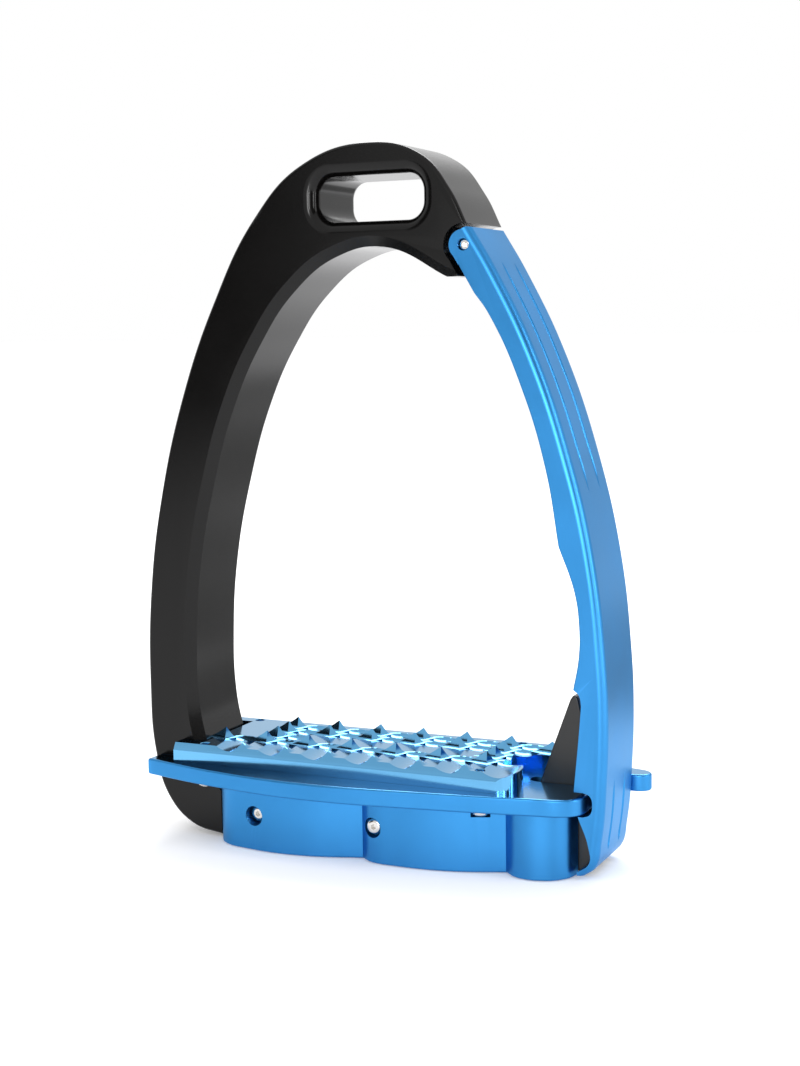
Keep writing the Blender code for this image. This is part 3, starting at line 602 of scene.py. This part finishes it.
def insert_outline():
    outline = corners((-55.6, -13.4), (-55.6, -INSERT_HALF), (41.0, -INSERT_HALF))
    outline += smooth((44.6, -16.6), (45.4, -11.5), (44.0, -7.0))
    outline += corners((41.5, -5.2), (37.8, -5.2), (37.8, 5.2), (47.5, 5.2))
    outline += smooth((50.4, 7.0), (51.2, 11.5), (49.6, 16.6)) + corners((45.5, INSERT_HALF))
    return outline + corners((-55.6, INSERT_HALF), (-55.6, 13.4), (-47.9, 13.4), (-47.9, -13.4))


def build_tread():
    tread = machined_block()
    combine(tread, prism("insert_limits", insert_outline(), INSERT_LOW, 31.0, "XY"), "INTERSECT")
    bevel = corners((INSERT_HALF + 3.0, 22.6), (INSERT_HALF + 3.0, 34.0),
                    (INSERT_HALF - 4.0, 32.0), (INSERT_HALF, 25.2))
    for side in (-1, 1):
        chamfer = prism("edge_chamfer", bevel, -70, 70)
        chamfer.data.transform(Matrix.Rotation(side * math.pi / 2, 4, "Z"))
        combine(tread, chamfer)
    for place in TREAD_SCREWS:
        combine(tread, cylinder("Z", place, 1.35, 20, 32))
        combine(tread, cylinder("Z", place, 1.0, 26.6, 28.2, top_radius=2.4))
    for sx, sy in spike_places():
        combine(tread, spike_solid(sx, sy), "UNION")
    return finish_piece(tread, "tread_plate", "arch", TREAD, "tread_blue", "tread_insert", sharp=24.0)


# ---------------------------------------------------------------- lever
def build_lever():
    fin = corners((58.8, 15.0), (59.0, 30.0)) + smooth((58.2, 43.0), (56.8, 45.7))
    fin += corners((55.6, 44.6), (46.9, 21.0), (46.0, 8.0), (48.6, 2.2), (57.0, 1.0))
    lever = prism("lever_shell", fin, -2.4, 2.4)
    round_edges(lever, lambda mid, normals: abs(mid.y) > 2.3, 0.45, 3)
    foot_outline = (corners((57.3, 1.0), (61.2, 0.8)) + smooth((63.4, 4.5), (63.2, 9.0), (61.9, 13.4))
                    + corners((60.4, 16.4), (57.3, 16.4)))
    foot = prism("foot", foot_outline, -8.3, 8.3)
    round_edges(foot, lambda mid, normals: abs(mid.y) > 8.2 and mid.x > 59, 0.7, 4)
    combine(lever, foot, "UNION")
    combine(lever, cylinder("Y", LEVER_PIVOT, PIVOT_HOLE, -10, 10))
    return finish_piece(lever, "lever_shell", "lever", LEVER, "lever_black", "release_lever")


# ---------------------------------------------------------------- screws
def build_hinge_pin():
    pin = cylinder("Y", HINGE, 1.4, -HINGE_PIN_END, 9.4)
    round_edges(pin, lambda mid, normals: mid.y < 0.1 - HINGE_PIN_END, 0.35, 4)
    combine(pin, cylinder("Y", HINGE, 0.72, -HALF, 1.6 - HINGE_PIN_END, sides=6))
    return finish_piece(pin, "hinge_pin_socketed", "arm", STEEL, "stainless_steel", "hinge_pin")


def build_cross_screw(index, place):
    screw = cylinder("Y", place, 1.9, -HEAD_SEAT - 0.5, 12.6)
    head = cylinder("Y", place, 2.5, -HEAD_END, -HEAD_SEAT)
    round_edges(head, lambda mid, normals: mid.y < 0.1 - HEAD_END, 1.4, 8)
    combine(screw, head, "UNION")
    combine(screw, cylinder("Y", place, 1.0, 12.0, HEAD_END - 1.0), "UNION")
    combine(screw, cylinder("Y", place, 0.8, -HEAD_END - 1.0, 0.9 - HEAD_END, sides=6))
    return finish_piece(screw, f"cross_screw_dome_{index}", "arch", STEEL, "stainless_steel",
                        f"cross_screw_{index}")


build_arch()
build_arm()
build_base()
build_tread()
build_lever()
build_hinge_pin()
for screw_index, screw_place in enumerate(CROSS_SCREWS, start=1):
    build_cross_screw(screw_index, screw_place)


# ---------------------------------------------------------------- stage, lights, camera
def plain_material(name, colour, rough):
    mat = bpy.data.materials.new(name)
    mat.use_nodes = True
    shader = mat.node_tree.nodes["Principled BSDF"]
    shader.inputs["Base Color"].default_value = (*colour, 1)
    shader.inputs["Roughness"].default_value = rough
    return mat


def build_floor():
    bm = bmesh.new()
    bmesh.ops.create_grid(bm, x_segments=2, y_segments=2, size=30.0)
    floor = new_object("studio_floor", clean(bm))
    paint = plain_material("studio_floor", (0.95, 0.95, 0.96), 0.9)
    shader = paint.node_tree.nodes["Principled BSDF"]
    shader.inputs["Specular IOR Level"].default_value = 0.1
    shader.inputs["Emission Color"].default_value = (1, 1, 1, 1)
    shader.inputs["Emission Strength"].default_value = 0.13
    floor.data.materials.append(paint)
    floor.location.z = -0.0002


def soft_light(name, place, target, size, watts):
    """A rectangular lamp aimed at a target, hidden from the camera."""
    lamp = bpy.data.lights.new(name, "AREA")
    lamp.shape = "RECTANGLE"
    lamp.size, lamp.size_y = size
    lamp.energy = watts
    obj = new_object(name, lamp)
    obj.location = place
    obj.rotation_euler = (Vector(target) - Vector(place)).to_track_quat("-Z", "Y").to_euler()
    obj.visible_camera = False
    return obj


def build_camera():
    cam = bpy.data.cameras.new("camera")
    cam.sensor_fit = "AUTO"
    cam.sensor_width = 36.0
    cam.lens = 59.1
    cam.clip_start, cam.clip_end = 0.01, 100.0
    obj = new_object("camera", cam)
    right, up, back = (Vector((0.91053, 0.41320, -0.01429)), Vector((-0.03463, 0.11066, 0.99325)),
                       Vector((0.41200, -0.90389, 0.11507)))
    turn = Matrix((right, up, back)).transposed().to_4x4()
    obj.matrix_world = Matrix.Translation((0.20164, -0.42799, 0.14083)) @ turn
    bpy.context.scene.camera = obj


def dark_card(name, place, target, size, shade=0.02):
    """A dark studio card that only shows in reflections."""
    bm = bmesh.new()
    bmesh.ops.create_grid(bm, x_segments=1, y_segments=1, size=0.5)
    card = new_object(name, clean(bm))
    card.scale = (size[0], size[1], 1.0)
    card.location = place
    card.rotation_euler = (Vector(target) - Vector(place)).to_track_quat("-Z", "Y").to_euler()
    card.data.materials.append(plain_material(name, (shade, shade, shade), 0.9))
    card.visible_camera = card.visible_shadow = False
    card.visible_diffuse = False


MIDDLE = (0.0, 0.0, 0.08)      # in metres, as are all the places on the stage
build_floor()
soft_light("front_strip", (0.22, -1.1, 0.26), MIDDLE, (0.14, 0.5), 3.2)
soft_light("roll_glint", (0.42, -0.95, 0.25), (0, 0, 0.17), (0.04, 0.3), 1.6)
soft_light("side_strip", (1.15, -0.05, 0.35), MIDDLE, (0.16, 0.9), 4.0)
soft_light("top_back", (-0.16, 0.85, 0.95), MIDDLE, (0.8, 0.5), 9.0)
soft_light("corner_strip", (1.0, -0.45, 0.2), (0, 0, 0.1), (0.07, 0.5), 1.6)
dark_card("card_left", (-0.85, -0.92, 0.42), (0, 0, 0.42), (0.7, 0.8))
dark_card("card_low_back", (0.3, 0.42, 0.002), (0.3, 0.42, 1.0), (0.5, 0.5), 0.3)
dark_card("card_right", (0.98, -0.62, 0.45), (0, 0, 0.45), (0.75, 1.0))
build_camera()

scene = bpy.context.scene
scene.view_settings.view_transform = "Standard"
world = bpy.data.worlds.new("studio")
world.use_nodes = True
world.node_tree.nodes["Background"].inputs["Color"].default_value = (1.0, 1.0, 1.0, 1)
world.node_tree.nodes["Background"].inputs["Strength"].default_value = 1.0
scene.world = world
